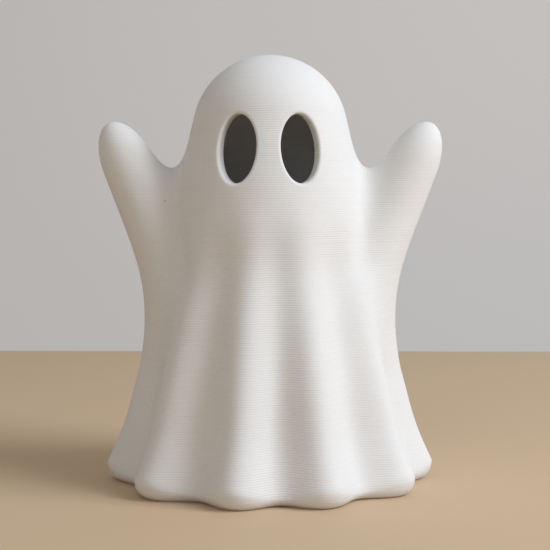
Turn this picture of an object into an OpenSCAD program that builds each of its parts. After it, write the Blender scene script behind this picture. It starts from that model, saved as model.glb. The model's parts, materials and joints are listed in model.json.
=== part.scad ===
// Hollow ghost lantern figure with raised arms, a pull-out base and an LED tea light
// Lengths are in millimetres, +Z is up, the face looks along -Y, and the hem stands on z = 0

/* [Figure] */
// Height from the table to the top of the head
figure_h = 120; // [112:1:132]
// Radius of the domed head
head_r = 21.9; // [20:0.1:24]
// Taper of the neck below the dome, radius lost per length risen
neck_taper_share = 0.25; // [0.18:0.01:0.3]
// Mean radius of the folded hem
hem_r = 44.8; // [42:0.1:47]
// Radius of the skirt an eighth of the way up
skirt_r = 39; // [37:0.1:42]
// Radius a quarter of the way up
hip_r = 35.5; // [34:0.1:38]
// Radius three eighths of the way up
waist_r = 31.8; // [30:0.1:34]
// Radius half of the way up
chest_r = 28; // [27:0.1:31]
// Radius five eighths of the way up
shoulder_r = 26.9; // [25:0.1:29]
// Thickness of the hollow wall
wall_t = 3.6; // [2.8:0.1:4.4]
// Radius of the rounded lower edge of the hem
hem_round_r = 3.6; // [1.5:0.1:4]

/* [Folds] */
// Height of a fold's ridge above the mean hem
fold_d = 3.9; // [1.5:0.1:4.2]
// Height at which the folds have faded away
fold_top_z = 82; // [60:1:90]
// Azimuth of the first ridge from the face's middle, repeated after half a turn as all of them are
ridge_a_turn = -88; // [-95:1:-75]
// Azimuth of the second ridge
ridge_b_turn = -46; // [-55:1:-35]
// Azimuth of the third ridge
ridge_c_turn = -11; // [-20:1:0]
// Azimuth of the fourth ridge
ridge_d_turn = 21; // [10:1:32]
// Azimuth of the fifth ridge
ridge_e_turn = 56; // [45:1:70]

/* [Arms] */
// Distance of the arm's root from the axis
arm_root_x = 18.5; // [17:0.1:22]
// Height of the arm's root
arm_root_z = 45; // [40:1:50]
// Radius of the arm at its root
arm_root_r = 11.8; // [10:0.1:13]
// Distance of the arm's tip from the axis
arm_tip_x = 45.7; // [42:0.1:50]
// Height of the arm's tip
arm_tip_z = 101; // [94:0.1:106]
// Radius that the arm's taper heads for at the tip
arm_girth_r = 6.3; // [5.5:0.1:8.5]
// Share of the arm's length over which its end rounds off
arm_round_share = 0.2; // [0.14:0.01:0.3]
// Width over which arm and body melt together
arm_blend = 13.2; // [8:0.1:16]

/* [Eyes] */
// Width of an eye opening
eye_w = 10.8; // [8:0.1:12]
// Height of an eye opening
eye_h = 18.7; // [14:0.1:22]
// Height of the eyes' centres
eye_z = 93.2; // [86:0.1:96]
// Azimuth of each eye from the face's middle
eye_turn = 21.8; // [20:0.1:28]
// Lean of each eye's top towards the middle
eye_lean = -2.5; // [-6:0.5:6]

/* [Foot] */
// Thickness of the floor ring inside the hem
floor_t = 6; // [5:0.1:8]
// Radius of the seat that the base plugs into
seat_r = 31.5; // [30.5:0.1:32.5]
// Depth of that seat
seat_d = 4; // [3.4:0.1:4.6]
// Width of the stop lip above the seat
lip_w = 2; // [1.5:0.1:2.4]

/* [Base] */
// Height of the base above the table
base_lift = 0.8; // [0.5:0.1:1.2]
// Thickness of the ledge that the light stands on
ledge_t = 1.6; // [1.2:0.1:2]
// Width of that ledge
ledge_w = 2; // [1.6:0.1:2.4]
// Height of the collar round the light above the base plate
collar_h = 8; // [5:0.1:10]
// Thickness of the collar
collar_t = 1.8; // [1.2:0.1:2.2]
// Radial depth of the grip ring
ring_d = 1.6; // [1.2:0.1:2]
// Height of the grip ring
ring_h = 1.6; // [1.2:0.1:1.8]
// Width of a finger slot
slot_w = 5.2; // [4.6:0.1:5.4]
// Length of a finger slot
slot_l = 14; // [10:0.5:18]

/* [Tea light] */
// Outer radius of the light's cup
cup_r = 19; // [18.5:0.1:19.4]
// Height of the cup
cup_h = 16; // [15:0.5:20]
// Thickness of the cup's wall
cup_t = 1.2; // [1:0.1:1.4]
// Thickness of the cup's cover
cover_t = 1.4; // [1:0.1:2]
// Depth of the cover's dished top
cover_dish = 0.6; // [0.3:0.1:0.8]
// Greatest radius of the flame
flame_r = 5.6; // [5:0.1:7]
// Height of the flame above the cover
flame_h = 22; // [16:0.5:26]
// Radius of the flame's neck
flame_neck_r = 4; // [3.9:0.1:4.4]
// Radius of the light-emitting diode
led_r = 2.5; // [2.3:0.1:2.6]
// Height of the diode above its flange
led_h = 7.6; // [6:0.1:9]

/* [Battery and switch] */
// Radius of the coin cell
cell_r = 10; // [9.8:0.1:10.2]
// Thickness of the coin cell
cell_t = 3.2; // [2.5:0.1:3.4]
// Distance of the cell's centre from the light's axis
cell_y = 5; // [4.6:0.1:5.4]
// Radius of the door's hinge pins
pin_r = 0.4; // [0.3:0.05:0.45]
// Length of each hinge pin
pin_l = 1.4; // [1:0.1:1.8]
// Travel of the switch from off to on
switch_travel = 3; // [2:0.1:3.5]
// Length of the switch knob
knob_l = 3.4; // [2.6:0.1:3.8]
// Width of the switch knob
knob_w = 2.6; // [2:0.1:3]
// Distance of the switch from the light's axis
switch_y = 12; // [11.6:0.1:12.4]
// Thickness of the contact metal
strip_t = 0.3; // [0.2:0.05:0.35]
// Thickness of a lead of the diode
lead_t = 0.5; // [0.4:0.05:0.6]

/* [Hidden] */
$fn = 96;

// Clearances and the overrun of every cut
run_gap = 0.05;
fit_gap = 0.1;
door_gap = 0.15;
slip_gap = 0.25;
cut = 1;

// Azimuth of the round cuts' seams, off the planes of symmetry
seam_turn = 47;

// Curve of the body: levels at shares of the height, then a dome that meets them with the neck's taper
level_shares = [0, 0.125, 0.25, 0.375, 0.5, 0.625];
level_rs = [hem_r, skirt_r, hip_r, waist_r, chest_r, shoulder_r];
neck_turn = atan(neck_taper_share);
dome_z = figure_h - head_r;
neck_z = dome_z + head_r * sin(neck_turn);
stops = concat(
    [for (i = [0:5]) [level_shares[i] * figure_h, level_rs[i]]],
    [[neck_z, head_r * cos(neck_turn)]]);
function step_slope(i) = (stops[i + 1].y - stops[i].y) / (stops[i + 1].x - stops[i].x);
slopes = [for (i = [0:6]) i == 0 ? step_slope(0) : i == 6 ? -neck_taper_share
    : (step_slope(i - 1) + step_slope(i)) / 2];
function stop_below(z, i = 5) = i == 0 || z >= stops[i].x ? i : stop_below(z, i - 1);
function hermite(a, b, ma, mb, h, t) = a * (1 + 2 * t) * (1 - t) * (1 - t) + ma * h * t * (1 - t) * (1 - t)
    + b * t * t * (3 - 2 * t) + mb * h * t * t * (t - 1);
function curve_r(z) = let (i = stop_below(z), h = stops[i + 1].x - stops[i].x)
    hermite(stops[i].y, stops[i + 1].y, slopes[i], slopes[i + 1], h, (z - stops[i].x) / h);
function dome_r(z) = sqrt(max(head_r * head_r - (z - dome_z) * (z - dome_z), 0));
function body_r(z) = z > neck_z ? dome_r(z) : curve_r(z);

// Folds: one cosine from each ridge to the next, with a depth that fades with height by a power
fold_fade_share = 1.3;
half_ridges = [ridge_a_turn, ridge_b_turn, ridge_c_turn, ridge_d_turn, ridge_e_turn];
ridges = concat(half_ridges, [for (t = half_ridges) t + 180], [ridge_a_turn + 360]);
ridge_count = len(ridges) - 1;
function fold_at(z) = fold_d * pow(max(1 - z / fold_top_z, 0), fold_fade_share);
function ridge_below(t, i) = i == 0 || t >= ridges[i] ? i : ridge_below(t, i - 1);
function fold_wave(p) = let (
    front = atan2(p.x, -p.y),
    t = front < ridges[0] ? front + 360 : front,
    i = ridge_below(t, ridge_count - 1))
    cos(360 * (t - ridges[i]) / (ridges[i + 1] - ridges[i]));

// Signed distance, near enough, to the body, to the nearer arm, and to both melted together
function clamp(t) = min(max(t, 0), 1);
function smooth(t) = clamp(t) * clamp(t) * (3 - 2 * clamp(t));
function body_gap(p) = p.z > neck_z ? norm([p.x, p.y, p.z - dome_z]) - head_r
    : (norm([p.x, p.y]) - curve_r(p.z) - fold_at(p.z) * fold_wave(p)) * cos(neck_turn);
arm_root = [arm_root_x, 0, arm_root_z];
arm_tip = [arm_tip_x, 0, arm_tip_z];
arm_run = arm_tip - arm_root;
arm_way = arm_run / norm(arm_run);
arm_taper = arm_girth_r - arm_root_r;
arm_cap_share = arm_girth_r / (arm_round_share * norm(arm_run));
function arm_gap(p) = let (
    q = [abs(p.x), p.y, p.z] - arm_root,
    t = max(q * arm_run / (arm_run * arm_run), 0),
    late = max(t - 1 + arm_round_share, 0) * norm(arm_run),
    side = norm(q - t * arm_run))
    norm([side, arm_cap_share * late]) - (arm_root_r + arm_taper * t);
function skin_gap(p) = let (b = body_gap(p), a = arm_gap(p), m = clamp(0.5 + 0.5 * (a - b) / arm_blend))
    a * (1 - m) + b * m - arm_blend * m * (1 - m);

// A point is moved along the gap's gradient until it lies on the skin
probe = figure_h / 6000;
settle_count = 7;
settle_share = 0.9;
steep_least_share = 0.2;
function gradient(p, f) = [skin_gap(p + [probe, 0, 0]) - f, skin_gap(p + [0, probe, 0]) - f,
    skin_gap(p + [0, 0, probe]) - f] / probe;
function settle(p, n = settle_count) = n == 0 ? p : let (f = skin_gap(p), g = gradient(p, f))
    settle(p - settle_share * f / max(g * g, steep_least_share) * g, n - 1);

// An oval patch of the body's grid is drawn out along each arm: its rim stays, its middle is the arm's tip
arm_core = arm_tip - arm_round_share / 2 * arm_run;
patch_z = (arm_root_z + arm_core.z) / 2;
patch_half_share = 0.585;
patch_half = patch_half_share * (arm_core.z - arm_root_z);
patch_turn = 40;
draw_power_share = 1.1;
rim_share = 0.15;
round_from_share = 0.7;
narrow_by_share = 0.55;
fan_by_share = 0.9;
bend_share = 0.44;
girth_share = 1.16;
function bend(a, b, c, t) = (1 - t) * (1 - t) * a + 2 * t * (1 - t) * b + t * t * c;
function arm_guide(q, turn, side_r) = let (
    t = 1 - pow(q, draw_power_share),
    spine = bend([body_r(patch_z), 0, patch_z], arm_core - bend_share * arm_run, arm_core, t),
    lean = smooth(t / fan_by_share) * atan2(arm_way.z, arm_way.x),
    tip_turn = clamp((t - round_from_share) / (1 - round_from_share)) * 90,
    narrow = smooth(t / narrow_by_share),
    up = (patch_half + (girth_share * arm_girth_r - patch_half) * narrow) * cos(tip_turn) * sin(turn),
    out = (side_r + (girth_share * arm_girth_r - side_r) * narrow) * cos(tip_turn) * cos(turn))
    spine + up * [-sin(lean), 0, cos(lean)] + [0, out, 0] + sin(tip_turn) * (arm_tip - arm_core);
function guide(turn, z) = let (
    side = cos(turn) >= 0 ? 1 : -1,
    local = atan2(sin(turn), abs(cos(turn))),
    r = body_r(z),
    base = [r * cos(local), r * sin(local), z],
    a = local / patch_turn,
    b = (z - patch_z) / patch_half,
    q = min(norm([a, b]), 1),
    tube = q < 1 ? arm_guide(q, atan2(b, a), r * sin(patch_turn)) : base,
    drawn = base + (tube - base) * smooth((1 - q) / rim_share))
    [side * drawn.x, drawn.y, drawn.z];

// Grid of the outer skin: columns divide each fold evenly, and rows crowd where the arms are
fold_columns = 13;
column_count = fold_columns * ridge_count;
skirt_rows = 6;
arm_rows = 24;
dome_rows = 6;
round_rows = 3;
belt_share = 0.966;
belt_z = patch_z - belt_share * patch_half;
brow_z = patch_z + belt_share * patch_half;
crown_from = asin((brow_z + hem_round_r - dome_z) / head_r);
crown_last = 86;
// The crown's last point stands a hair off the axis, so that no plane through the axis meets it
crown_off_share = 0.001;
column_turns = [for (i = [0:ridge_count - 1]) for (k = [0:fold_columns - 1])
    ridges[i] + (ridges[i + 1] - ridges[i]) * k / fold_columns - 90];
row_zs = concat(
    [for (i = [0:skirt_rows - 1]) hem_round_r + (belt_z - hem_round_r) * i / (skirt_rows - 1)],
    [for (i = [1:arm_rows]) belt_z + (brow_z - belt_z) * i / arm_rows],
    [for (i = [0:dome_rows - 1])
        dome_z + head_r * sin(crown_from + (crown_last - crown_from) * i / (dome_rows - 1))]);
skin_rows = [for (z = row_zs) [for (t = column_turns) settle(guide(t, z))]];
function tucked(p, turn) = let (r = norm([p.x, p.y]), inset = hem_round_r * (1 - sin(turn)))
    [p.x * (r - inset) / r, p.y * (r - inset) / r, p.z * (1 - cos(turn))];
round_edge_rows = [for (k = [0:round_rows - 1]) [for (p = skin_rows[0]) tucked(p, 90 * k / round_rows)]];
all_rows = concat(round_edge_rows, skin_rows);
row_count = len(all_rows);
function at(row, column) = row * column_count + column % column_count;
crown_point = [crown_off_share * head_r, crown_off_share * head_r / 2, figure_h];
skin_points = concat([for (row = all_rows) each row], [crown_point]);
skin_faces = concat(
    [[for (c = [0:column_count - 1]) c]],
    [for (r = [0:row_count - 2]) for (c = [0:column_count - 1]) each [
        [at(r, c), at(r + 1, c), at(r + 1, c + 1)],
        [at(r, c), at(r + 1, c + 1), at(r, c + 1)]]],
    [for (c = [0:column_count - 1])
        [at(row_count - 1, c), row_count * column_count, at(row_count - 1, c + 1)]]);

// Hollow of the figure: the body's curve, less the folds and the wall
hollow_steps = 18;
dome_steps = 10;
function hollow_r(z) = curve_r(z) - fold_at(z) - wall_t;
hollow_top_r = head_r - wall_t;
hollow_outline = concat(
    [[0, floor_t]],
    [for (i = [0:hollow_steps]) let (z = floor_t + (neck_z - floor_t) * i / hollow_steps) [hollow_r(z), z]],
    [for (i = [1:dome_steps]) let (t = neck_turn + (90 - neck_turn) * i / dome_steps)
        [hollow_top_r * cos(t), dome_z + hollow_top_r * sin(t)]]);

// Heights and radii that the base and the light share
lip_r = seat_r - lip_w;
base_r = seat_r - slip_gap;
base_top = seat_d - fit_gap;
light_z = base_lift + ledge_t;
window_r = cup_r - ledge_w;
collar_r = cup_r + slip_gap;
ring_z = (base_lift + base_top - ring_h) / 2;
groove_r = seat_r - run_gap - ring_d;
slot_x = (collar_r + collar_t + groove_r) / 2;
cup_top = light_z + cup_h;
cup_in_r = cup_r - cup_t;
cup_floor = light_z + cup_t;
cover_top = cup_top + cover_t;
skirt_share = 1.4;
skirt_h = skirt_share * cover_t;
hole_r = flame_neck_r + run_gap;
flange_t = cup_t - slip_gap;
flame_t = 0.9;
bore_r = flame_neck_r - flame_t;
cell_z = cup_floor + fit_gap;
bay_r = cell_r + 2 * fit_gap;
bay_t = cup_t;
contact_z = cell_z + cell_t + fit_gap;
holder_z = contact_z + strip_t;
holder_t = cup_t;
post_wall_share = 0.9;
post_r = led_r + post_wall_share * cup_t;
post_in_r = led_r - strip_t;
post_top = cup_top - cover_t;
led_flange_r = led_r + strip_t;
led_flange_t = cover_t - fit_gap;
lead_x = led_r / 2;
door_r = bay_r;
door_t = cup_t - fit_gap;
hinge_z = light_z + cup_t / 2;
knuckle_r = cup_t / 2 - run_gap;
hinge_out_share = 3;
hinge_y = cell_y - door_r - hinge_out_share * knuckle_r;
leaf_share = 0.8;
leaf_half = leaf_share * door_r;
knob_drop = base_lift;
knob_flange_t = cup_t;
knob_flange_l = knob_l + 2 * switch_travel;
knob_flange_w = knob_w + 2 * cup_t;
rail_z = cup_floor + knob_flange_t + strip_t + 3 * fit_gap;
plate_l = knob_flange_l + switch_travel;
plate_w = knob_flange_w + 2 * cup_t;
strip_w = knob_w + cup_t;
tab_y = cell_y - cell_r - 2 * fit_gap;
plate_y = -switch_y + plate_w / 2;
bridge_z = post_top - led_h;
rib_y = (plate_w - cup_t) / 2;
dish_w = 2.4;
can_share = 0.86;
can_step = 1.4;

// A bar between two corners
module bar(low, high) {
    translate(low) cube(high - low);
}

// A slot with round ends, across X
module slot(length, width, height) {
    linear_extrude(height) {
        square([width, length - width], center = true);
        for (s = [-1, 1]) translate([0, s * (length - width) / 2]) circle(d = width);
    }
}

// One eye's opening, an upright oval cut straight through the wall
module eye(side) {
    rotate([90, 0, side * eye_turn]) translate([0, eye_z, 0]) rotate(side * eye_lean)
        linear_extrude(2 * head_r) scale([eye_w / 2, eye_h / 2]) circle(1);
}

module ghost_shell() {
    color("whitesmoke") difference() {
        polyhedron(points = skin_points, faces = skin_faces, convexity = 8);
        rotate(seam_turn) rotate_extrude() polygon(hollow_outline);
        rotate(seam_turn) translate([0, 0, -cut]) cylinder(r = seat_r, h = seat_d + cut);
        rotate(seam_turn) cylinder(r = lip_r, h = floor_t + cut);
        for (side = [-1, 1]) eye(side);
    }
}

module base_cap() {
    color("ivory") difference() {
        union() {
            translate([0, 0, base_lift]) cylinder(r = base_r, h = base_top - base_lift);
            translate([0, 0, base_lift])
                cylinder(r = collar_r + collar_t, h = base_top - base_lift + collar_h);
        }
        translate([0, 0, light_z]) cylinder(r = collar_r, h = figure_h);
        cylinder(r = window_r, h = figure_h);
        translate([0, 0, ring_z]) difference() {
            cylinder(r = seat_r + cut, h = ring_h);
            translate([0, 0, -cut]) cylinder(r = groove_r, h = ring_h + 2 * cut);
        }
        for (s = [-1, 1]) translate([s * slot_x, 0, 0]) slot(slot_l, slot_w, figure_h);
    }
}

module grip_ring() {
    color("gainsboro") translate([0, 0, ring_z]) difference() {
        cylinder(r = groove_r + ring_d, h = ring_h);
        translate([0, 0, -cut]) cylinder(r = groove_r, h = ring_h + 2 * cut);
    }
}

// Outline of the door's leaf, grown by a gap
module leaf(gap) {
    translate([0, cell_y]) circle(r = door_r + gap);
    translate([-leaf_half - gap, hinge_y]) square([2 * (leaf_half + gap), cell_y - hinge_y]);
}

module light_cup() {
    color("white") difference() {
        union() {
            difference() {
                translate([0, 0, light_z]) cylinder(r = cup_r, h = cup_h);
                translate([0, 0, cup_floor]) cylinder(r = cup_in_r, h = cup_h);
            }
            translate([0, cell_y, cup_floor - fit_gap])
                cylinder(r = bay_r + bay_t, h = holder_z - cup_floor + fit_gap);
            for (s = [-1, 1])
                translate([-plate_l / 2, -switch_y + s * rib_y - cup_t / 2, cup_floor - fit_gap]) cube([plate_l, cup_t, rail_z - cup_floor + fit_gap]);
        }
        translate([0, cell_y, cup_floor]) cylinder(r = bay_r, h = cup_h);
        translate([0, 0, light_z - cut]) linear_extrude(cup_t + cut) leaf(door_gap);
        translate([-leaf_half - door_gap, hinge_y - knuckle_r - door_gap, light_z - cut])
            cube([2 * (leaf_half + door_gap), 2 * (knuckle_r + door_gap), cup_t + 2 * cut]);
        translate([-leaf_half - pin_l - fit_gap, hinge_y, hinge_z]) rotate([0, 90, 0])
            cylinder(r = pin_r + run_gap, h = 2 * (leaf_half + pin_l + fit_gap));
        translate([-(knob_l + 2 * fit_gap) / 2, -switch_y - knob_w / 2 - fit_gap, light_z - cut])
            cube([knob_l + switch_travel + 2 * fit_gap, knob_w + 2 * fit_gap, cup_t + 2 * cut]);
        translate([-strip_w / 2 - fit_gap, tab_y - bay_t - 3 * fit_gap, cup_floor])
            cube([strip_w + 2 * fit_gap, bay_t + 4 * fit_gap, cup_h]);
    }
}

module light_cover() {
    color("ivory") difference() {
        union() {
            translate([0, 0, cup_top]) cylinder(r = cup_r, h = cover_t);
            translate([0, 0, cup_top - skirt_h])
                cylinder(r = cup_in_r - fit_gap, h = skirt_h + cover_t / 2);
        }
        translate([0, 0, cup_top - skirt_h - cut])
            cylinder(r = cup_in_r - fit_gap - cup_t, h = skirt_h + cut);
        translate([0, 0, cover_top - cover_dish])
            cylinder(r1 = cup_r - cup_t - dish_w, r2 = cup_r - cup_t, h = cover_dish + fit_gap);
        cylinder(r = hole_r, h = figure_h);
    }
}

// Half outline of the flame: a round belly that draws to a point, on a straight neck
belly_share = 0.3;
point_share = 0.9;
function flame_at(t) = t < belly_share
    ? flame_neck_r + (flame_r - flame_neck_r) * sin(90 * t / belly_share)
    : flame_r * pow(cos(90 * (t - belly_share) / (1 - belly_share)), point_share);
flame_steps = 22;
flame_z = cover_top - cover_dish;
flame_outline = concat(
    [[0, cup_top - flange_t], [flame_neck_r + cup_t, cup_top - flange_t], [flame_neck_r + cup_t, cup_top],
     [flame_neck_r, cup_top]],
    [for (i = [0:flame_steps - 1]) let (t = i / flame_steps) [flame_at(t), flame_z + flame_h * t]],
    [[0, flame_z + flame_h]]);

module flame_lens() {
    color("wheat") difference() {
        rotate_extrude() polygon(flame_outline);
        translate([0, 0, cup_top - flange_t - cut]) cylinder(r = bore_r, h = led_h + cut);
        translate([0, 0, cup_top - flange_t + led_h]) sphere(r = bore_r);
    }
}

module led() {
    color("lightyellow") {
        translate([0, 0, post_top]) cylinder(r = led_flange_r, h = led_flange_t);
        translate([0, 0, post_top]) cylinder(r = led_r, h = led_h - led_r);
        translate([0, 0, post_top + led_h - led_r]) sphere(r = led_r);
    }
}

module led_leads() {
    color("silver") {
        bar([lead_x - lead_t / 2, -lead_t / 2, holder_z], [lead_x + lead_t / 2, lead_t / 2, post_top]);
        bar([-lead_x - lead_t / 2, -lead_t / 2, bridge_z], [-lead_x + lead_t / 2, lead_t / 2, post_top]);
        bar([-lead_x - lead_t / 2, -switch_y - lead_t / 2, bridge_z],
            [-lead_x + lead_t / 2, lead_t / 2, bridge_z + lead_t]);
        bar([-lead_x - lead_t / 2, -switch_y - lead_t / 2, rail_z + strip_t],
            [-lead_x + lead_t / 2, -switch_y + lead_t / 2, bridge_z + lead_t]);
    }
}

module cell_holder() {
    color("white") difference() {
        union() {
            translate([0, cell_y, holder_z]) cylinder(r = bay_r + bay_t, h = holder_t);
            translate([0, 0, holder_z]) cylinder(r = post_r, h = post_top - holder_z);
        }
        translate([0, 0, holder_z - cut]) cylinder(r = post_in_r, h = post_top + cut);
        translate([-lead_x - lead_t, -post_r - cut, bridge_z - lead_t / 2])
            cube([2 * lead_t, post_r + cut, 2 * lead_t]);
    }
}

module cell_contact() {
    color("gold") translate([-strip_w / 2, -cell_y / 2, contact_z]) cube([strip_w, 2 * cell_y, strip_t]);
}

module side_contact() {
    color("gold") {
        bar([-strip_w / 2, tab_y - strip_t, cell_z + fit_gap], [strip_w / 2, tab_y, contact_z]);
        bar([-strip_w / 2, plate_y, rail_z], [strip_w / 2, tab_y, rail_z + strip_t]);
    }
}

module coin_cell() {
    color("lightsteelblue") translate([0, cell_y, cell_z]) {
        cylinder(r = cell_r, h = can_share * cell_t);
        cylinder(r = cell_r - can_step, h = cell_t);
    }
}

module battery_door() {
    color("white") difference() {
        union() {
            translate([0, 0, light_z]) linear_extrude(door_t) leaf(0);
            translate([-leaf_half, hinge_y, hinge_z]) rotate([0, 90, 0])
                cylinder(r = knuckle_r, h = 2 * leaf_half);
            translate([-leaf_half - pin_l, hinge_y, hinge_z]) rotate([0, 90, 0])
                cylinder(r = pin_r, h = 2 * (leaf_half + pin_l));
        }
        translate([0, cell_y + door_r, light_z - cut]) cylinder(r = cup_t, h = cup_t / 2 + cut);
    }
}

module switch_knob() {
    color("black") {
        translate([-knob_flange_l / 2, -switch_y - knob_flange_w / 2 + fit_gap, cup_floor + fit_gap])
            cube([knob_flange_l, knob_flange_w - 2 * fit_gap, knob_flange_t]);
        translate([-knob_l / 2, -switch_y - knob_w / 2, light_z - knob_drop])
            cube([knob_l, knob_w, cup_t + knob_drop + 2 * fit_gap]);
    }
}

module switch_wiper() {
    color("gold") translate([-knob_flange_l / 2, -switch_y - knob_w / 2, cup_floor + fit_gap + knob_flange_t])
        cube([knob_flange_l, knob_w, strip_t]);
}

module switch_plate() {
    color("gold") translate([-plate_l / 2, -switch_y - plate_w / 2, rail_z])
        cube([plate_l, plate_w, strip_t]);
}

ghost_shell();
base_cap();
grip_ring();
light_cup();
light_cover();
flame_lens();
led();
led_leads();
cell_holder();
cell_contact();
side_contact();
coin_cell();
battery_door();
switch_knob();
switch_wiper();
switch_plate();
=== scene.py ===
"""Hollow matt ghost figure with raised arms and see-through eyes, over a battery tea light in a base.

The figure's skin is a formula, and its mesh is one closed surface of grids worked out from it.
"""
import json
import logging
import math
from collections.abc import Callable
from dataclasses import dataclass
from enum import Enum

import bpy
import numpy as np
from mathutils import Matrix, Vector

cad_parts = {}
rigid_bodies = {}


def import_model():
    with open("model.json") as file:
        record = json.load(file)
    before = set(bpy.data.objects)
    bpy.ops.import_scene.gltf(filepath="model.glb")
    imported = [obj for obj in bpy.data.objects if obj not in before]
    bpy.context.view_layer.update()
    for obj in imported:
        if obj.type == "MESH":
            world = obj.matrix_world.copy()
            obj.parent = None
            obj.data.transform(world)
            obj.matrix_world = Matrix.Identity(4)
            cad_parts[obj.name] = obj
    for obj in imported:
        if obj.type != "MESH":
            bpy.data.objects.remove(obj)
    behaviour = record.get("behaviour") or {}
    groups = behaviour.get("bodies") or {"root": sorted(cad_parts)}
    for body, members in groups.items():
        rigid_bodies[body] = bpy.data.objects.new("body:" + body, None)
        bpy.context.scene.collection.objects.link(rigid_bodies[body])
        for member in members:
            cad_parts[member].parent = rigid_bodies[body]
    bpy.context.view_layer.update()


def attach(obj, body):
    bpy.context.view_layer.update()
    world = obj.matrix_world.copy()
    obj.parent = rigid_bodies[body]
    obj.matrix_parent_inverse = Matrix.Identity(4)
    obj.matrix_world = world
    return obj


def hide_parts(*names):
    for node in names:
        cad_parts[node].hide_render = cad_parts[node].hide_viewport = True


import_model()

LOG = logging.getLogger("ghost")
MM = 0.001
FRONT = -90.0
HALF_TURN = 180.0
FULL_TURN = 360.0

Array = np.ndarray
Place = tuple[float, float, float]
Tint = tuple[float, float, float]
Colour = tuple[float, float, float, float]
Socket = bpy.types.NodeSocket
Feed = Socket | float | Colour


def clamp(t: Array) -> Array:
    """Hold values between zero and one."""
    return np.clip(t, 0.0, 1.0)


def smooth(t: Array) -> Array:
    """Ease from zero to one: three t squared less two t cubed."""
    t = clamp(t)
    return t * t * (3.0 - 2.0 * t)


@dataclass(frozen=True)
class ArmPatch:
    """How an oval patch of the skin's grid is drawn out along an arm. It sets the mesh, not the form.

    Attributes:
        half_height: Half the patch's height on the body, as a share of the arm's rise.
        half_turn: Half its width on the body, in degrees.
        spread: Power by which its rows are spread along the arm.
        bend: Distance from the arm's end to the bend of its middle line, as a share of the arm.
        lean_by: Share of the way by which the patch leans like the arm.
        narrow_by: Share of the way by which it is as narrow as the arm.
        tip: Last share of the way, over which it closes at the tip.
        slack: Its radius at the arm, as a multiple of the arm's.
        seam: Share of the patch, from its edge, over which it leaves the body.
    """

    half_height: float = 0.585
    half_turn: float = 40.0
    spread: float = 1.1
    bend: float = 0.44
    lean_by: float = 0.9
    narrow_by: float = 0.55
    tip: float = 0.3
    slack: float = 1.16
    seam: float = 0.15


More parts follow.
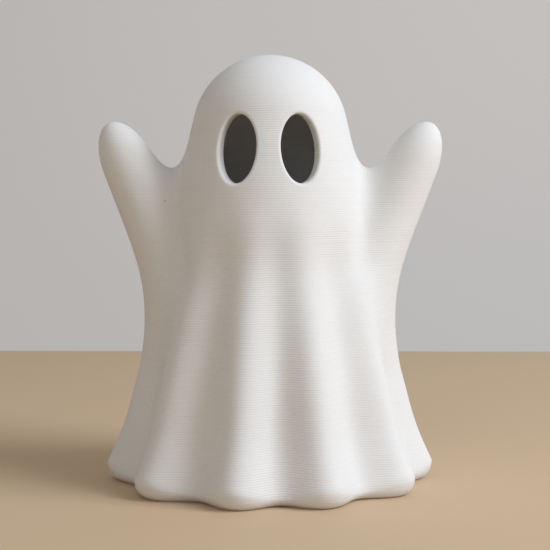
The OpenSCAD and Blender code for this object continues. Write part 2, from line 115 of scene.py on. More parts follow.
@dataclass(frozen=True)
class FigureForm:
    """The figure's form, in millimetres and degrees: a bell-shaped body and two tapered arms.

    Attributes:
        neck_taper: Slope of the neck where it meets the dome, as radius lost for each step up.
        level_shares: Heights of the body's levels, as shares of the height.
        level_rs: Mean radii of the body at its levels.
        ridge_turns: Directions of half of the folds' ridges, from the front.
        fold_top: Height at which the folds have faded out.
        fold_fade: Power by which they fade.
        arm_root: Start of the right arm's centre line, inside the body.
        arm_tip: End of that line.
        arm_round: Last share of the arm, over which it is rounded off.
        arm_blend: Width of the melt between arm and body.
        web_crease: Share by which the melt narrows above the arm, in the arm's middle plane.
        crease: The same share at the arm's front and back.
        crease_rise: How soon the melt has narrowed: at 3, after a third of the arm.
        arm_patch: How the skin's grid is drawn out along an arm.
    """

    height: float = 120.0
    head_r: float = 21.9
    neck_taper: float = 0.25
    level_shares: tuple[float, ...] = (0.0, 0.125, 0.25, 0.375, 0.5, 0.625)
    level_rs: tuple[float, ...] = (44.8, 39.0, 35.5, 31.8, 28.0, 26.9)
    wall: float = 3.6
    hem_round: float = 3.6
    ridge_turns: tuple[float, ...] = (-88.0, -46.0, -11.0, 21.0, 56.0)
    fold_depth: float = 3.9
    fold_top: float = 82.0
    fold_fade: float = 1.3
    arm_root: Place = (18.5, 0.0, 45.0)
    arm_root_r: float = 11.8
    arm_tip: Place = (45.7, 0.0, 101.0)
    arm_girth_r: float = 6.3
    arm_round: float = 0.2
    arm_blend: float = 13.2
    web_crease: float = 0.14
    crease: float = 0.6
    crease_rise: float = 3.0
    arm_patch: ArmPatch = ArmPatch()

    @property
    def neck_turn(self) -> float:
        """Angle of the neck's taper."""
        return math.atan(self.neck_taper)

    @property
    def dome_z(self) -> float:
        """Height of the dome's centre."""
        return self.height - self.head_r

    @property
    def neck_z(self) -> float:
        """Height at which the dome meets the neck."""
        return self.dome_z + self.head_r * math.sin(self.neck_turn)

    def curve_r(self, z: Array) -> Array:
        """Mean radius of the body below the dome.

        A cubic runs between each two levels. The slope at a level is the mean of the slopes beside it.

        Args:
            z: Heights.

        Returns:
            Radii at those heights.
        """
        zs = np.array([share * self.height for share in self.level_shares] + [self.neck_z])
        rs = np.array(list(self.level_rs) + [self.head_r * math.cos(self.neck_turn)])
        steps = np.diff(rs) / np.diff(zs)
        slopes = np.concatenate([[steps[0]], (steps[1:] + steps[:-1]) / 2.0, [-self.neck_taper]])
        i = np.clip(np.searchsorted(zs, z, side="right") - 1, 0, len(zs) - 2)
        h = zs[i + 1] - zs[i]
        t = (z - zs[i]) / h
        return (rs[i] * (1 + 2 * t) * (1 - t) ** 2 + slopes[i] * h * t * (1 - t) ** 2
                + rs[i + 1] * t * t * (3 - 2 * t) + slopes[i + 1] * h * t * t * (t - 1))

    def body_r(self, z: Array) -> Array:
        """Mean radius of the body, dome included."""
        dome = np.sqrt(np.maximum(self.head_r ** 2 - (z - self.dome_z) ** 2, 0.0))
        return np.where(z > self.neck_z, dome, self.curve_r(np.minimum(z, self.neck_z)))

    def fold_at(self, z: Array) -> Array:
        """Height of the folds, which fades upwards by a power."""
        return self.fold_depth * clamp(1.0 - z / self.fold_top) ** self.fold_fade

    def hollow_r(self, z: Array) -> Array:
        """Radius of the hollow: the body's, less folds and wall, under a dome of its own.

        Args:
            z: Heights.

        Returns:
            Radii at those heights.
        """
        top_r = self.head_r - self.wall
        join = self.dome_z + top_r * math.sin(self.neck_turn)
        low = self.curve_r(np.minimum(z, join)) - self.fold_at(z) - self.wall
        dome = np.sqrt(np.maximum(top_r ** 2 - (z - self.dome_z) ** 2, 0.0))
        return np.where(z > join, dome, low)

    def fold_wave(self, turn: Array) -> Array:
        """Wave of the folds: one cosine from each ridge to the next, the same again after half a turn.

        Args:
            turn: Azimuths in radians.

        Returns:
            Heights of the wave, from one at a ridge to minus one between two.
        """
        again = tuple(t + HALF_TURN for t in self.ridge_turns)
        ridges = np.array(self.ridge_turns + again + (self.ridge_turns[0] + FULL_TURN,))
        spot = (np.degrees(turn) - FRONT - ridges[0]) % FULL_TURN + ridges[0]
        return np.cos(2 * math.pi * np.interp(spot, ridges, np.arange(len(ridges))))

    def body_gap(self, p: Array) -> Array:
        """Distance from the body, near enough.

        Below the neck it is the radius less the folded curve's, along the taper. Above it, it is the
        distance from the dome.

        Args:
            p: Points, with their coordinates last.

        Returns:
            Distances, negative inside the body.
        """
        rho = np.hypot(p[..., 0], p[..., 1])
        turn = np.arctan2(p[..., 1], p[..., 0])
        z = p[..., 2]
        folded = (self.curve_r(np.minimum(z, self.neck_z))
                  + self.fold_at(z) * self.fold_wave(turn))
        side = (rho - folded) * math.cos(self.neck_turn)
        dome = np.hypot(rho, z - self.dome_z) - self.head_r
        return np.where(z > self.neck_z, dome, side)

    def arm_line(self) -> tuple[Array, Array, float]:
        """The right arm's centre line.

        Returns:
            Its root, the way from there to its tip, and that way's length.
        """
        root = np.array(self.arm_root)
        run = np.array(self.arm_tip) - root
        return root, run, float(np.linalg.norm(run))

    def patch(self) -> tuple[float, float]:
        """Where the patch that is drawn out along an arm lies on the body.

        Returns:
            The height of its middle, and the arm's rise from its root to the middle of its rounded end.
        """
        rise = (1.0 - self.arm_round / 2.0) * (self.arm_tip[2] - self.arm_root[2])
        return self.arm_root[2] + rise / 2.0, rise

    def arm_gap(self, p: Array) -> Array:
        """Distance from the nearer arm's centre line, less its radius there.

        The radius tapers evenly from root to tip. Over the last share of the length, the distance past the
        end's beginning is added at a right angle, in proportion, so that the arm ends in a long round.

        Args:
            p: Points, with their coordinates last.

        Returns:
            Distances, negative inside the arm.
        """
        root, run, length = self.arm_line()
        q = np.stack([np.abs(p[..., 0]), p[..., 1], p[..., 2]], axis=-1) - root
        t = np.maximum((q @ run) / length ** 2, 0.0)
        late = np.maximum(t - 1.0 + self.arm_round, 0.0) * self.arm_girth_r / self.arm_round
        side = np.linalg.norm(q - t[..., None] * run, axis=-1)
        return np.hypot(side, late) - (self.arm_root_r + (self.arm_girth_r - self.arm_root_r) * t)

    def blend_at(self, p: Array) -> Array:
        """Width of the melt between arm and body, narrower above the arm's line, towards the head.

        The share by which it narrows eases in across the arm's width, and upwards along the arm. It grows
        from the arm's middle plane to its front and back, where the crease beside the chest is.

        Args:
            p: Points, with their coordinates last.

        Returns:
            Widths at those points.
        """
        root, run, length = self.arm_line()
        x, z = np.abs(p[..., 0]) - root[0], p[..., 2] - root[2]
        across = (x * run[2] - z * run[0]) / length
        inner = smooth(0.5 - across / (2.0 * self.arm_girth_r))
        raised = smooth((x * run[0] + z * run[2]) / length ** 2 * self.crease_rise)
        off_plane = smooth(np.abs(p[..., 1]) / (2.0 * self.arm_girth_r))
        share = self.web_crease + (self.crease - self.web_crease) * off_plane
        return self.arm_blend * (1.0 - share * inner * raised)

    def gap(self, p: Array) -> Array:
        """Distance from the skin: the smaller of both gaps, less a parabola where they are close.

        Args:
            p: Points, with their coordinates last.

        Returns:
            Distances, negative inside the figure.
        """
        a, b, blend = self.arm_gap(p), self.body_gap(p), self.blend_at(p)
        m = clamp(0.5 + 0.5 * (a - b) / blend)
        return a * (1 - m) + b * m - blend * m * (1 - m)

    def settle(self, p: Array, rounds: int = 12, pace: float = 0.9, probe: float = 0.02,
               least: float = 0.2) -> Array:
        """Move points along the gap's gradient until they lie on the skin.

        Args:
            p: Points near the skin, with their coordinates last.
            rounds: Number of Newton steps.
            pace: Share of each step that is taken.
            probe: Distance to either side over which the gradient is measured.
            least: Least value that the gradient's square is given, so that no step is too long.

        Returns:
            Points on the skin.
        """
        for _ in range(rounds):
            f = self.gap(p)
            g = np.stack([(self.gap(p + step) - self.gap(p - step)) / (2 * probe)
                          for step in np.eye(3) * probe], axis=-1)
            p = p - (pace * f / np.maximum((g * g).sum(axis=-1), least))[..., None] * g
        return p

    def draw_out(self, about: Array, t: Array, r: Array) -> Array:
        """Points of the patch once it is drawn out along the right arm.

        Its middle follows a quadratic curve from the body to the arm's rounded end. Across that curve it
        is an oval that narrows to the arm's girth, leans like the arm, and closes over a quarter turn.

        Args:
            about: Directions from the patch's middle.
            t: Places along the arm, from zero at the patch's edge to one at its middle.
            r: Radii of the body at the points' own heights.

        Returns:
            Points, with their coordinates last.
        """
        patch = self.arm_patch
        root, run, _ = self.arm_line()
        mid_z, rise = self.patch()
        half = patch.half_height * rise
        core = root + (1.0 - self.arm_round / 2.0) * run
        start = np.array([float(self.body_r(np.array(mid_z))), 0.0, mid_z])
        tt = t[..., None]
        spine = (1 - tt) ** 2 * start + 2 * tt * (1 - tt) * (core - patch.bend * run) + tt ** 2 * core
        lean = smooth(t / patch.lean_by) * math.atan2(run[2], run[0])
        tip_turn = clamp((t - (1.0 - patch.tip)) / patch.tip) * math.pi / 2
        narrow = smooth(t / patch.narrow_by)
        girth = patch.slack * self.arm_girth_r
        up = (half + (girth - half) * narrow) * np.cos(tip_turn) * np.sin(about)
        side_r = r * math.sin(math.radians(patch.half_turn))
        out = (side_r + (girth - side_r) * narrow) * np.cos(tip_turn) * np.cos(about)
        lift = np.stack([-np.sin(lean) * up, out, np.cos(lean) * up], axis=-1)
        return spine + lift + (self.arm_round / 2.0 * np.sin(tip_turn))[..., None] * run

    def guide(self, turn: Array, z: Array) -> Array:
        """First guess of the skin's grid, in which an oval patch is drawn out along each arm.

        Outside the patch a point lies on the body of revolution. Inside it, the distance from the patch's
        middle becomes the place along the arm, and the direction from the middle becomes the turn about it.

        Args:
            turn: Azimuths of the grid.
            z: Heights of the grid.

        Returns:
            Points, with their coordinates last.
        """
        patch = self.arm_patch
        mid_z, rise = self.patch()
        side = np.where(np.cos(turn) >= 0, 1.0, -1.0)
        local = np.arctan2(np.sin(turn), np.abs(np.cos(turn)))
        r = self.body_r(z)
        base = np.stack([r * np.cos(local), r * np.sin(local), z], axis=-1)
        across, up = local / math.radians(patch.half_turn), (z - mid_z) / (patch.half_height * rise)
        q = np.minimum(np.hypot(across, up), 1.0)
        tube = self.draw_out(np.arctan2(up, across), 1.0 - q ** patch.spread, r)
        point = base + (tube - base) * smooth((1 - q) / patch.seam)[..., None]
        point[..., 0] *= side
        return point


class Side(Enum):
    """The figure's sides as seen from the front, by the sign of X."""

    LEFT = -1
    RIGHT = 1


@dataclass(frozen=True)
class EyeForm:
    """One eye's opening, in millimetres: an oval cut straight through the wall, with rounded rims.

    Attributes:
        z: Height of its middle.
        turn: Angle of its axis from the front, in radians.
        lean: Angle by which the oval leans in its own plane, in radians.
        rim: Radius of the rounded rim on the skin.
        inner_rim: Radius of the rounded rim in the hollow.
    """

    side: Side
    width: float = 10.8
    tall: float = 18.7
    z: float = 93.2
    turn: float = math.radians(21.8)
    lean: float = math.radians(-2.5)
    rim: float = 0.95
    inner_rim: float = 0.5

    def axes(self) -> tuple[Array, Array]:
        """The eye's level directions.

        Returns:
            Directions out of the eye and across it.
        """
        a = self.side.value * self.turn
        out = np.array([math.sin(a), -math.cos(a), 0.0])
        return out, np.array([math.cos(a), math.sin(a), 0.0])

    def lean_parts(self) -> tuple[float, float]:
        """Cosine and sine of the lean on the eye's side."""
        return math.cos(self.side.value * self.lean), math.sin(self.side.value * self.lean)

    def flat(self, p: Array) -> Array:
        """Places of points in the eye's own plane, with the lean taken out.

        Args:
            p: Points, with their coordinates last.

        Returns:
            Places across and up.
        """
        _, across = self.axes()
        u, v = p @ across, p[..., 2] - self.z
        c, s = self.lean_parts()
        return np.stack([u * c + v * s, -u * s + v * c], axis=-1)

    def oval(self, angle: Array, grow: float) -> Array:
        """Points of the oval, moved outwards along its normal.

        Args:
            angle: Angles of the points, as an ellipse's formula has them.
            grow: Distance outwards.

        Returns:
            Places across and up.
        """
        a, b = self.width / 2.0, self.tall / 2.0
        on = np.stack([a * np.cos(angle), b * np.sin(angle)], axis=-1)
        normal = np.stack([b * np.cos(angle), a * np.sin(angle)], axis=-1)
        normal /= np.linalg.norm(normal, axis=-1, keepdims=True)
        return on + normal * grow

    def place(self, flat: Array, radius_at: Callable[[Array], Array], depth: float) -> Array:
        """Put flat places on a surface of revolution, and move them inwards along the eye's axis.

        Args:
            flat: Places across and up.
            radius_at: Function from height to the surface's radius.
            depth: Distance inwards from that surface.

        Returns:
            Points, with their coordinates last.
        """
        out, across = self.axes()
        c, s = self.lean_parts()
        u = flat[..., 0] * c - flat[..., 1] * s
        v = flat[..., 0] * s + flat[..., 1] * c
        reach = np.sqrt(np.maximum(radius_at(v + self.z) ** 2 - u * u, 0.0)) - depth
        point = reach[..., None] * out + u[..., None] * across
        point[..., 2] = v + self.z
        return point


def to_object(name: str, points: Array, faces: list[list[int]],
              material: bpy.types.Material) -> bpy.types.Object:
    """Make a smooth-shaded object.

    Args:
        name: Name of the object and its mesh.
        points: Its points, in millimetres.
        faces: The points of each face, by number.
        material: Its finish.

    Returns:
        The object, in the scene.
    """
    mesh = bpy.data.meshes.new(name)
    mesh.from_pydata((points * MM).tolist(), [], faces)
    mesh.update()
    mesh.polygons.foreach_set("use_smooth", np.ones(len(mesh.polygons), dtype=bool))
    mesh.materials.append(material)
    piece = bpy.data.objects.new(name, mesh)
    bpy.context.scene.collection.objects.link(piece)
    return piece


@dataclass(frozen=True)
class FigureShell:
    """The hollow figure as one closed mesh: skin, rounded hem, foot ring, hollow and the eyes' reveals.

    Sizes are in millimetres and turns in degrees. A count of rows or rings has both of its ends in it.

    Attributes:
        lip: Width of the stop lip above the seat for the base.
        arm_share: Half the height of the finer rows beside the arms, as a share of the arm's rise.
        crown_step: Step from those rows to the rows over the head.
        crown_turn: Turn of the last row over the head, just short of the pole.
        ceiling_turn: The same in the hollow's dome.
        eye_margin: Height from an eye's rim to the edge of the patch that it interrupts.
        eye_half_turn: Half that patch's width.
        patch_power: Power by which the rings between its edge and the rim are spread.
    """

    form: FigureForm = FigureForm()
    columns: int = 288
    floor: float = 6.0
    seat_r: float = 31.5
    seat_depth: float = 4.0
    lip: float = 2.0
    edge: float = 0.4
    low_rows: int = 30
    arm_rows: int = 85
    arm_share: float = 0.565
    crown_rows: int = 40
    crown_step: float = 0.7
    crown_turn: float = 87.5
    hem_rows: int = 9
    sole_rows: int = 5
    hollow_rows: int = 34
    ceiling_rows: int = 16
    ceiling_turn: float = 86.0
    eye_margin: float = 1.6
    eye_half_turn: float = 18.6
    patch_rings: int = 8
    patch_power: float = 0.9
    rim_rings: int = 8
    reveal_rings: int = 5
    inner_rim_rings: int = 4
    inner_patch_rings: int = 5

    def turns(self) -> Array:
        """Azimuths of the columns, evenly spaced."""
        return np.arange(self.columns) * 2 * math.pi / self.columns

    def eye_heights(self) -> tuple[float, float]:
        """Heights between which the eyes interrupt the rows.

        Returns:
            The lower and the upper height.
        """
        eye = EyeForm(Side.RIGHT)
        reach = eye.tall / 2.0 + eye.rim + self.eye_margin
        return eye.z - reach, eye.z + reach

    def eye_columns(self, eye: EyeForm) -> Array:
        """Columns that an eye interrupts.

        Args:
            eye: The eye's form.

        Returns:
            Numbers of the columns, in order of azimuth.
        """
        middle = FRONT + eye.side.value * math.degrees(eye.turn)
        off = (np.degrees(self.turns()) - middle + HALF_TURN) % FULL_TURN - HALF_TURN
        chosen = np.nonzero(np.abs(off) < self.eye_half_turn)[0]
        return chosen[np.argsort(off[chosen])]

    def skin_levels(self) -> Array:
        """Heights of the skin's rows: even steps up to the arms, finer ones beside them, then even turns.

        Returns:
            Heights, from the hem up.
        """
        f = self.form
        mid, rise = f.patch()
        half = self.arm_share * rise
        low = np.linspace(f.hem_round, mid - half, self.low_rows)
        middle = np.linspace(mid - half, mid + half, self.arm_rows)[1:]
        first = math.asin((mid + half + self.crown_step - f.dome_z) / f.head_r)
        over = np.linspace(first, math.radians(self.crown_turn), self.crown_rows)
        return np.concatenate([low, middle, f.dome_z + f.head_r * np.sin(over)])

    def hollow_levels(self, skin_levels: Array) -> Array:
        """Heights of the hollow's rows: even steps up to the eyes, the skin's beside them, then even turns.

        Args:
            skin_levels: Heights of the skin's rows.

        Returns:
            Heights, from the floor up.
        """
        f = self.form
        low, high = self.eye_heights()
        middle = skin_levels[(skin_levels > low) & (skin_levels < high)]
        below = np.linspace(self.floor, middle[0], self.hollow_rows)[:-1]
        top_r = f.head_r - f.wall
        first = math.asin((middle[-1] - f.dome_z) / top_r)
        over = np.linspace(first, math.radians(self.ceiling_turn), self.ceiling_rows)[1:]
        return np.concatenate([below, middle, f.dome_z + top_r * np.sin(over)])

    def foot_profile(self) -> tuple[Array, Array]:
        """The foot's corners, each eased by two chords, from the seat's mouth to the hollow's floor.

        The chords meet near the middle of a quarter circle, at 0.3 of its radius from both sides.

        Returns:
            Their radii and their heights.
        """
        e, near, lip_r = self.edge, 0.3 * self.edge, self.seat_r - self.lip
        corners = np.array([
            (self.seat_r + e, 0.0), (self.seat_r + near, near), (self.seat_r, e),
            (self.seat_r, self.seat_depth - e), (self.seat_r - near, self.seat_depth - near),
            (self.seat_r - e, self.seat_depth), (lip_r + e, self.seat_depth),
            (lip_r + near, self.seat_depth + near), (lip_r, self.seat_depth + e),
            (lip_r, self.floor - e), (lip_r + near, self.floor - near), (lip_r + e, self.floor)])
        return corners[:, 0], corners[:, 1]

    def circles(self, radii: Array, heights: Array) -> Array:
        """Rows of points on level circles: each column's direction times the row's radius.

        Args:
            radii: Radius of each row.
            heights: Height of each row.

        Returns:
            Points by row and column.
        """
        turns = self.turns()
        level = np.broadcast_to(heights[:, None], (len(heights), len(turns)))
        return np.stack([radii[:, None] * np.cos(turns), radii[:, None] * np.sin(turns), level], axis=-1)

    def hem(self, edge: Array) -> Array:
        """Rows of the rounded hem: in each column a quarter of a circle, inwards and down to the sole.

        Args:
            edge: Points of the skin's lowest row.

        Returns:
            Points by row and column.
        """
        steps = np.linspace(0.0, math.pi / 2, self.hem_rows)[1:, None]
        r_edge = np.hypot(edge[:, 0], edge[:, 1])
        r = r_edge[None] - self.form.hem_round * (1 - np.cos(steps))
        return np.stack([edge[None, :, 0] * r / r_edge, edge[None, :, 1] * r / r_edge,
                         edge[None, :, 2] * (1 - np.sin(steps))], axis=-1)

    def grid(self) -> tuple[Array, Array, int, int]:
        """Points of the whole closed grid, from the crown down the skin, under the foot and up the hollow.

        Returns:
            The points by row and column, each row's height, the number of the skin's rows, and the hollow's
            first row.
        """
        f = self.form
        skin_z = self.skin_levels()
        skin = f.settle(f.guide(*np.meshgrid(self.turns(), skin_z)))[::-1]
        hem = self.hem(skin[-1])
        foot = self.circles(*self.foot_profile())
        share = np.linspace(0.0, 1.0, self.sole_rows)[1:-1, None, None]
        sole = hem[-1] + (foot[0] - hem[-1]) * share
        hollow_z = self.hollow_levels(skin_z)
        hollow = self.circles(f.hollow_r(hollow_z), hollow_z)
        blocks = [skin, hem, sole, foot]
        start = sum(len(block) for block in blocks)
        levels = np.concatenate([skin_z[::-1], np.zeros(start - len(skin)), hollow_z])
        return np.concatenate(blocks + [hollow]), levels, len(skin), start

    def build(self, material: bpy.types.Material) -> bpy.types.Object:
        """Join the grid, its poles and the eyes' reveals into one mesh.

        Args:
            material: Finish of the shell.

        Returns:
            The shell's object.
        """
        grid, levels, skin_count, hollow_start = self.grid()
        rows, columns = grid.shape[:2]
        flat = grid.reshape(-1, 3)
        points = [flat]
        count = len(flat)
        keep = np.ones((rows - 1, columns), dtype=bool)
        index = np.arange(count).reshape(rows, columns)
        faces: list[list[int]] = []
        low, high = self.eye_heights()
        beside = np.nonzero((levels > low) & (levels < high))[0]
        skin_rows, inner_rows = beside[beside < skin_count], beside[beside >= hollow_start]
        for side in Side:
            eye = EyeForm(side)
            chosen = self.eye_columns(eye)
            for patch_rows in (skin_rows, inner_rows):
                keep[np.ix_(patch_rows[:-1], chosen[:-1])] = False
            outer_loop = self.loop(index, skin_rows[::-1], chosen)
            inner_loop = self.loop(index, inner_rows, chosen)
            rings = self.eye_rings(eye, flat[outer_loop], flat[inner_loop])
            ids = count + np.arange(rings.shape[0] * rings.shape[1]).reshape(rings.shape[:2])
            count += ids.size
            points.append(rings.reshape(-1, 3))
            chain = np.concatenate([outer_loop[None], ids, inner_loop[None]])
            faces += self.quads(chain[:-1], chain[1:])
        top_z = self.form.height
        points.append(np.array([[0.0, 0.0, top_z], [0.0, 0.0, top_z - self.form.wall]]))
        a, b = index[:-1], index[1:]
        between = np.stack([a, b, np.roll(b, -1, axis=1), np.roll(a, -1, axis=1)], axis=-1)
        faces += between[keep].tolist()
        crown, ceiling = index[0], index[-1]
        faces += self.fan(count, crown, np.roll(crown, -1))
        faces += self.fan(count + 1, np.roll(ceiling, -1), ceiling)
        return to_object("ghost_body", np.concatenate(points), faces, material)

    @staticmethod
    def loop(index: Array, rows: Array, columns: Array) -> Array:
        """Vertices round a patch of the grid, anticlockwise as seen from outside.

        Args:
            index: Numbers of the grid's vertices.
            rows: Rows of the patch, from low to high.
            columns: Columns of the patch.

        Returns:
            Numbers of the vertices, from the patch's low corner.
        """
        patch = index[np.ix_(rows, columns)]
        return np.concatenate([patch[0, :-1], patch[:-1, -1], patch[-1, :0:-1], patch[:0:-1, 0]])

    @staticmethod
    def quads(outer: Array, inner: Array) -> list[list[int]]:
        """Faces between rings of vertices, closed round, that point outwards.

        Args:
            outer: Vertices of the rings on one side, by ring.
            inner: Vertices of the next ring of each.

        Returns:
            The four vertices of each face.
        """
        return np.stack([outer, np.roll(outer, -1, axis=1), np.roll(inner, -1, axis=1), inner],
                        axis=-1).reshape(-1, 4).tolist()

    @staticmethod
    def fan(pole: int, first: Array, second: Array) -> list[list[int]]:
        """Triangles from a pole to each two vertices."""
        return np.stack([np.full(len(first), pole), first, second], axis=-1).tolist()

    def eye_rings(self, eye: EyeForm, outer: Array, inner: Array) -> Array:
        """Rings of points from a patch's edge on the skin, over the rim, through the wall, to the hollow.

        Between the edge and the rim a ring is the mean of both, weighted by its number and laid on the
        surface. The rim is a quarter of a circle. Through the wall the oval keeps its size.

        Args:
            eye: The eye's form.
            outer: Points of the patch's edge on the skin.
            inner: Points of the patch's edge in the hollow.

        Returns:
            Points by ring and by place round it.
        """
        f = self.form
        edge, edge_in = eye.flat(outer), eye.flat(inner)
        angle = np.arctan2(edge[:, 1] / eye.tall, edge[:, 0] / eye.width)
        rings = []
        rim = eye.oval(angle, eye.rim)
        for share in np.linspace(0.0, 1.0, self.patch_rings)[1:-1] ** self.patch_power:
            rings.append(eye.place(edge + (rim - edge) * share, f.body_r, 0.0))
        for beta in np.linspace(0.0, math.pi / 2, self.rim_rings):
            flat = eye.oval(angle, eye.rim * (1 - math.sin(beta)))
            rings.append(eye.place(flat, f.body_r, eye.rim * (1 - math.cos(beta))))
        oval = eye.oval(angle, 0.0)
        start = eye.place(oval, f.body_r, eye.rim)
        end = eye.place(oval, f.hollow_r, -eye.inner_rim)
        for share in np.linspace(0.0, 1.0, self.reveal_rings)[1:]:
            rings.append(start + (end - start) * share)
        for beta in np.linspace(math.pi / 2, 0.0, self.inner_rim_rings)[1:]:
            flat = eye.oval(angle, eye.inner_rim * (1 - math.sin(beta)))
            rings.append(eye.place(flat, f.hollow_r, -eye.inner_rim * (1 - math.cos(beta))))
        rim_in = eye.oval(angle, eye.inner_rim)
        for share in np.linspace(0.0, 1.0, self.inner_patch_rings)[1:-1]:
            rings.append(eye.place(rim_in + (edge_in - rim_in) * share, f.hollow_r, 0.0))
        return np.stack(rings)


class Kind(Enum):
    """Kinds of a node group's sockets."""

    NUMBER = "NodeSocketFloat"
    COLOUR = "NodeSocketColor"
    VECTOR = "NodeSocketVector"


class Wiring:
    """Adds and feeds the nodes of one tree, a material's or a node group's.

    The colours of a Mix node share their names with its numbers, so they are found by their order.
    """

    MIX_FIRST, MIX_SECOND, MIX_RESULT = 6, 7, 2

    def __init__(self, tree: bpy.types.NodeTree) -> None:
        """Take the tree that is worked on."""
        self.tree = tree

    def feed(self, entry: Socket, value: Feed) -> None:
        """Link a socket into an input, or set the input's own value.

        Args:
            entry: The input.
            value: The socket to link, or else a number or a colour.
        """
        if isinstance(value, Socket):
            self.tree.links.new(value, entry)
        else:
            entry.default_value = value

    def add(self, node_type: str, **feeds: Feed) -> bpy.types.Node:
        """Add a node and feed its inputs.

        Args:
            node_type: The node's type.
            feeds: For each input's name, a socket, a number or a colour.

        Returns:
            The node.
        """
        node = self.tree.nodes.new(node_type)
        for label, value in feeds.items():
            self.feed(node.inputs[label], value)
        return node

    def compute(self, operation: str, *values: Feed) -> Socket:
        """Add a math node.

        Args:
            operation: Its operation.
            values: Numbers or sockets, in the order of its inputs.

        Returns:
            Its output.
        """
        node = self.add("ShaderNodeMath")
        node.operation = operation
        for entry, value in zip(node.inputs, values):
            self.feed(entry, value)
        return node.outputs[0]

    def mix(self, share: Socket, first: Feed, second: Feed) -> Socket:
        """Mix two colours.

        Args:
            share: How much of the second there is.
            first: One colour.
            second: The other.

        Returns:
            The mixed colour.
        """
        node = self.add("ShaderNodeMix")
        node.data_type = "RGBA"
        self.feed(node.inputs["Factor"], share)
        self.feed(node.inputs[self.MIX_FIRST], first)
        self.feed(node.inputs[self.MIX_SECOND], second)
        return node.outputs[self.MIX_RESULT]

    def effect(self, effect: "Effect", vector: Socket, **values: Feed) -> bpy.types.Node:
        """Place an effect's node group.

        Args:
            effect: The effect.
            vector: Coordinates that its pattern follows.
            values: Its values in this material, by their names.

        Returns:
            The group's node.
        """
        node = self.add("ShaderNodeGroup")
        node.node_tree = effect.group()
        for label, value in ({"Vector": vector} | values).items():
            self.feed(node.inputs[label], value)
        return node


class GroupWiring(Wiring):
    """The wiring of a new node group."""

    def __init__(self, name: str, inputs: dict[str, Kind], outputs: dict[str, Kind]) -> None:
        """Start the group.

        Args:
            name: Its name.
            inputs: Kinds of its inputs, by their names.
            outputs: Kinds of its outputs, by their names.
        """
        super().__init__(bpy.data.node_groups.new(name, "ShaderNodeTree"))
        for direction, sockets in (("INPUT", inputs), ("OUTPUT", outputs)):
            for label, kind in sockets.items():
                self.tree.interface.new_socket(label, in_out=direction, socket_type=kind.value)
        self.given = self.add("NodeGroupInput").outputs
        self.results = self.add("NodeGroupOutput").inputs


class Effect:
    """An effect that more than one material uses: a node group that is made once, then found by name."""

    name: str

    def make(self) -> bpy.types.NodeTree:
        """Make the node group."""
        raise NotImplementedError

    def group(self) -> bpy.types.NodeTree:
        """Find the node group, or make it the first time."""
        return bpy.data.node_groups.get(self.name) or self.make()


@dataclass(frozen=True)
class LayerLines(Effect):
    """Rounded ridges, one for each layer of height, of which each stands out a little differently.

    Attributes:
        sway_scale: Scale of the noise by which the lines waver.
        own_share: How much the ridges' heights differ at most, above own_least.
        patch_scale: Scale of the noise by which the ridges differ from place to place.
        patch_share: How much they do at most, above patch_least.
        round_power: Power that rounds the ridges. Below one they are broad and the grooves narrow.
        groove_power: Power that narrows the painted shade in the grooves.
    """

    name: str = "layer_lines"
    sway_scale: float = 60.0
    sway_detail: float = 2.0
    own_share: float = 0.45
    own_least: float = 0.55
    patch_scale: float = 35.0
    patch_share: float = 0.9
    patch_least: float = 0.55
    round_power: float = 0.6
    groove_power: float = 3.0

    def make(self) -> bpy.types.NodeTree:
        """Make the node group.

        The level is the height in layers, plus a noise about zero. A ridge is the size of the sine of half
        a turn for each level, and a groove is one less that. Each is raised to its power, and multiplied by
        the strength of the layer there.

        Returns:
            The node group, with the pitch of the layers and the waver of the lines as its values.
        """
        wiring = GroupWiring(self.name, {"Vector": Kind.VECTOR, "Pitch": Kind.NUMBER, "Waver": Kind.NUMBER},
                             {"Height": Kind.NUMBER, "Groove": Kind.NUMBER})
        place, compute = wiring.given["Vector"], wiring.compute
        height = wiring.add("ShaderNodeSeparateXYZ", Vector=place).outputs["Z"]
        noise = wiring.add("ShaderNodeTexNoise", Vector=place, Scale=self.sway_scale,
                           Detail=self.sway_detail)
        sway = compute("MULTIPLY", compute("SUBTRACT", noise.outputs["Fac"], 0.5), wiring.given["Waver"])
        level = compute("ADD", compute("DIVIDE", height, wiring.given["Pitch"]), sway)
        ridge = compute("ABSOLUTE", compute("SINE", compute("MULTIPLY", level, math.pi)))
        own = wiring.add("ShaderNodeTexWhiteNoise")
        own.noise_dimensions = "1D"
        wiring.feed(own.inputs["W"], compute("FLOOR", level))
        patch = wiring.add("ShaderNodeTexNoise", Vector=place, Scale=self.patch_scale)
        by_layer = compute("MULTIPLY_ADD", own.outputs["Value"], self.own_share, self.own_least)
        by_place = compute("MULTIPLY_ADD", patch.outputs["Fac"], self.patch_share, self.patch_least)
        strength = compute("MULTIPLY", by_layer, by_place)
        rounded = compute("POWER", ridge, self.round_power)
        groove = compute("POWER", compute("SUBTRACT", 1.0, ridge), self.groove_power)
        wiring.feed(wiring.results["Height"], compute("MULTIPLY", rounded, strength))
        # The groove output masks the painted shade that darkens the grooves.
        wiring.feed(wiring.results["Groove"], compute("MULTIPLY", groove, strength))
        return wiring.tree


